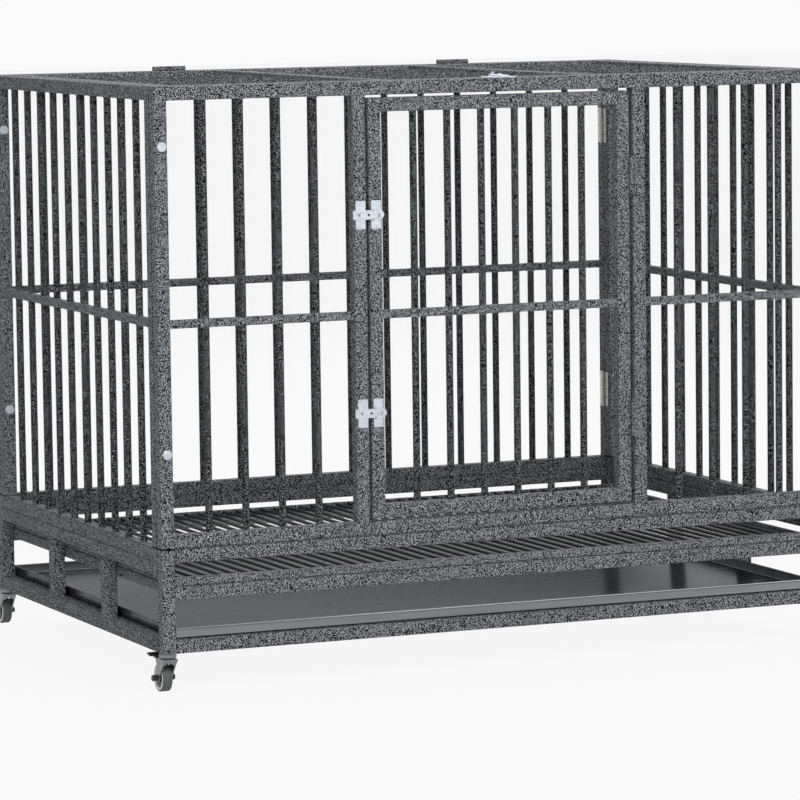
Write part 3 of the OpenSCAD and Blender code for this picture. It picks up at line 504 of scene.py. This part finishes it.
flat = BOLT_FLATS / 2
shank = BOLT_D / 2
root = shank - THREAD_DEPTH
bolts = []
nuts = []
for low, high in solids("panel_bolts"):
    middle = (low + high) / 2
    end = high[1] - low[1]
    shape = [(flat * FACE_SHARE, 0), (flat, 0), (flat, BOLT_HEAD)]
    shape += [(shank, BOLT_HEAD), (shank, end - THREADED)]
    for turn_number in range(int((THREADED - THREAD_END) / THREAD_PITCH)):
        start = end - THREADED + turn_number * THREAD_PITCH
        shape += [(root, start + THREAD_PITCH / 2), (shank, start + THREAD_PITCH)]
    shape += [(root, end)]
    bolts.append(lathe(shape, (middle[0], low[1], middle[2]), 1, hexagon={1: 1, 2: 0}))
for low, high in solids("panel_nuts"):
    middle = (low + high) / 2
    end = high[1] - low[1]
    shape = [(shank, 0), (flat * FACE_SHARE, 0), (flat, 0)]
    shape += [(flat, end), (flat * FACE_SHARE, end), (shank, end)]
    nuts.append(lathe(shape, (middle[0], low[1], middle[2]), 1, hexagon={2: 1, 3: -1}, ring=True))
for name, parts in (("bolts", bolts), ("nuts", nuts)):
    piece = build("zinc_hex_" + name, parts, zinc, HEX_SMOOTH)
    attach(piece, "crate")
    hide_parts("panel_" + name)

# Corner hinges: butt hinges of tumbled steel inside the back corners, so that the ends can fold.
# Each leaf has three holes and is spot welded to its upright.
HINGE_WARM = "#c3c1bc"
HINGE_SHADE = "#a9a7a2"
HINGE_PATCH_MM = 4.0
HINGE_ROUGH = (0.3, 0.42)
SMALL_RELIEF = 0.15

# Tumbled steel: a warm pale grey, soft and a little uneven, from rubbing against other pieces.
hinge_steel, shader = mottled("tumbled_hinge_steel", HINGE_SHADE, HINGE_WARM, HINGE_PATCH_MM, HINGE_ROUGH,
                              metallic=1.0, relief=SMALL_RELIEF)
coat(hinge_steel, ("corner_hinge_leaves", "corner_hinge_pins"))

# Tray: thin grey sheet with its four edges folded up through a small bend and rolled over into a
# round hem. It slides on the bottom rails and the runners beside them.
TRAY_GREY = "#8a8b8c"
TRAY_SHADE = "#787a7c"
TRAY_EDGE_ON = "#a4a5a6"
TRAY_ROUGH = (0.16, 0.26)
STREAK_MM = 14.0
STREAK_STRETCH = (0.04, 1.0, 1.0)
STREAK_DETAIL = 4.0
SHEET = 0.0012
HEM = 0.003
BEND = 0.0028
BEND_STEPS = 6
HEM_STEPS = 16
TRAY_SMOOTH = 35

# Rolled sheet with a clear lacquer: even grey with long faint rolling streaks and a soft gloss.
sheet, shader = mottled("lacquered_grey_sheet", TRAY_SHADE, TRAY_GREY, STREAK_MM, TRAY_ROUGH, metallic=1.0,
                        detail=STREAK_DETAIL, stretch=STREAK_STRETCH)
shader.inputs["Specular Tint"].default_value = linear(TRAY_EDGE_ON)

tray_low, tray_high = [np.array(corner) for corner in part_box("tray")]
wall = (HEM - SHEET) / 2
inner = BEND - SHEET
height = tray_high[2] - tray_low[2]
quarter = np.linspace(0, math.pi / 2, BEND_STEPS)
half_open = math.acos(SHEET / HEM)
fold = [(wall + BEND - BEND * math.sin(a), BEND - BEND * math.cos(a)) for a in quarter]
for a in np.linspace(math.pi + half_open, -half_open, HEM_STEPS):
    fold.append((HEM / 2 + HEM / 2 * math.cos(a), height - HEM / 2 + HEM / 2 * math.sin(a)))
fold += [(wall + BEND - inner * math.sin(a), BEND - inner * math.cos(a)) for a in quarter[::-1]]
points = []
for inset, z in fold:
    x0, y0 = tray_low[:2] + inset
    x1, y1 = tray_high[:2] - inset
    points += [(x, y, tray_low[2] + z) for x, y in ((x0, y0), (x1, y0), (x1, y1), (x0, y1))]
faces = [(r * 4 + k, r * 4 + (k + 1) % 4, r * 4 + 4 + (k + 1) % 4, r * 4 + 4 + k)
         for r in range(len(fold) - 1) for k in range(4)]
faces.append((3, 2, 1, 0))
faces.append(tuple(range(len(points) - 4, len(points))))
folded_tray = build("folded_sheet_tray", [(points, faces)], sheet, TRAY_SMOOTH)
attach(folded_tray, "tray")
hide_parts("tray")

# Casters: flanged stems and forks pressed from bare steel strip hang under the corner posts. In
# each fork a nylon wheel with a grey rubber tread and black dust covers turns on a black bolt,
# and a black ribbed pedal presses a shoe on the tread.
CORNERS = ("front_left", "front_right", "back_left", "back_right")
STEEL_GREY = "#8f908f"
STEEL_DARK = "#6c6e72"
STEEL_ROUGH = (0.28, 0.46)
STEEL_BAND = (0.3, 0.7)
STEEL_DETAIL = 2.0
ROLLING_STRETCH = (1.0, 1.0, 0.08)
RUBBER_GREY = "#4b4c4d"
RUBBER_DUST = "#626364"
RUBBER_ROUGH = (0.56, 0.68)
NYLON_WHITE = "#f2f2ef"
NYLON_SHADE = "#e2e2de"
WHITE_ROUGH = (0.3, 0.42)
OXIDE_BLACK = "#2b2c2e"
OXIDE_WORN = "#47484a"
OXIDE_ROUGH = (0.34, 0.46)
OXIDE_METAL = 0.8
PEDAL_BLACK = "#1c1d1e"
PEDAL_WORN = "#2a2b2c"
PEDAL_ROUGH = (0.39, 0.51)
# Rolling streaks and moulded grain are finer than these: they are drawn coarser, so that they show.
ROLLING_MM = 0.8
GRAIN_MM = 1.2
CLOUDED_MM = 3.6
# Half profiles in millimetres from the wheel's middle: radius, then reach to the side.
RIM_ROWS = ((3.1, 7.4), (4.6, 7.4), (5.0, 7.0), (5.0, 5.0), (13.9, 5.0), (14.2, 7.0), (14.6, 7.4),
            (17.4, 7.4), (17.8, 7.1), (17.8, 6.0))
COVER_ROWS = ((5.1, 6.4), (6.5, 6.1), (12.0, 5.7), (13.8, 5.9), (13.8, 4.8), (5.1, 4.8))
TYRE_ROWS = ((17.6, 6.8), (18.4, 7.2), (19.2, 7.0), (19.8, 6.2), (20.0, 5.0))
RIB_BACK = (0.0025, 0.006, 0.0095)
RIB_MARGIN = 0.002
RIB_STEPS = 7
PEDAL_SLOPE = 0.1216
PRESSED_EDGE = 0.0005

# Bare rolled steel: mid grey metal with fine streaks along the strip and a satin sheen.
steel, shader = mottled("rolled_steel_strip", STEEL_DARK, STEEL_GREY, ROLLING_MM, STEEL_ROUGH, metallic=1.0,
                        band=STEEL_BAND, detail=STEEL_DETAIL, stretch=ROLLING_STRETCH)
# Tread rubber: a dull mid grey with a dusty bloom.
tread_rubber, shader = mottled("grey_tread_rubber", RUBBER_GREY, RUBBER_DUST, GRAIN_MM, RUBBER_ROUGH,
                               metallic=0.0, relief=SMALL_RELIEF)
# Moulded nylon, uncoloured: a clean, slightly waxy white with a soft gloss.
white_nylon, shader = mottled("moulded_white_nylon", NYLON_SHADE, NYLON_WHITE, CLOUDED_MM, WHITE_ROUGH,
                              metallic=0.0, relief=SMALL_RELIEF)
# Black oxide on steel: dark grey metal, paler where it is worn.
black_oxide, shader = mottled("black_oxide_steel", OXIDE_BLACK, OXIDE_WORN, GRAIN_MM, OXIDE_ROUGH,
                              metallic=OXIDE_METAL, relief=SMALL_RELIEF)
# Moulded nylon, black: near black with a satin grain.
black_nylon, shader = mottled("moulded_black_nylon", PEDAL_BLACK, PEDAL_WORN, GRAIN_MM, PEDAL_ROUGH,
                              metallic=0.0, relief=SMALL_RELIEF)


def one_side(rows, sign):
    """Rows in millimetres as a profile in metres, to the right of the wheel's middle or the left."""
    return [(radius / 1000, sign * reach / 1000) for radius, reach in rows]


coat(steel, ["caster_stems"] + [corner + "_fork" for corner in CORNERS])
rim_shape = one_side(RIM_ROWS, -1) + one_side(RIM_ROWS[::-1], 1)
tread_shape = one_side(TYRE_ROWS, -1) + one_side(TYRE_ROWS[::-1], 1)
cover_shapes = (one_side(COVER_ROWS, -1), one_side(COVER_ROWS[::-1], 1))
for corner in CORNERS:
    coat(black_oxide, (corner + "_axle",))
    coat(black_nylon, (corner + "_brake",))
    ease_edges((corner + "_fork", corner + "_axle", corner + "_brake"), PRESSED_EDGE)
    low, high = [np.array(end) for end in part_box(corner + "_tyre")]
    centre = (low + high) / 2
    rim = build(corner + "_rim", [lathe(rim_shape, centre, 0, ring=True)], white_nylon)
    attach(rim, corner + "_roller")
    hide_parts(corner + "_wheel")
    tread = build(corner + "_tread", [lathe(tread_shape, centre, 0, ring=True)], tread_rubber)
    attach(tread, corner + "_roller")
    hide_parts(corner + "_tyre")
    covers = [lathe(shape, centre, 0, ring=True) for shape in cover_shapes]
    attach(build(corner + "_dust_covers", covers, black_nylon), corner + "_roller")
    low, high = [np.array(end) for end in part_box(corner + "_brake")]
    ribs = []
    for back in RIB_BACK:
        line = np.tile([0.0, high[1] - back, high[2] - PEDAL_SLOPE * back], (RIB_STEPS, 1))
        line[:, 0] = np.linspace(low[0] + RIB_MARGIN, high[0] - RIB_MARGIN, RIB_STEPS)
        ribs.append(bead(line, (0.0, 0.0, 1.0), False))
    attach(build(corner + "_pedal_ribs", ribs, black_nylon, BEAD_SMOOTH), corner + "_pedal")
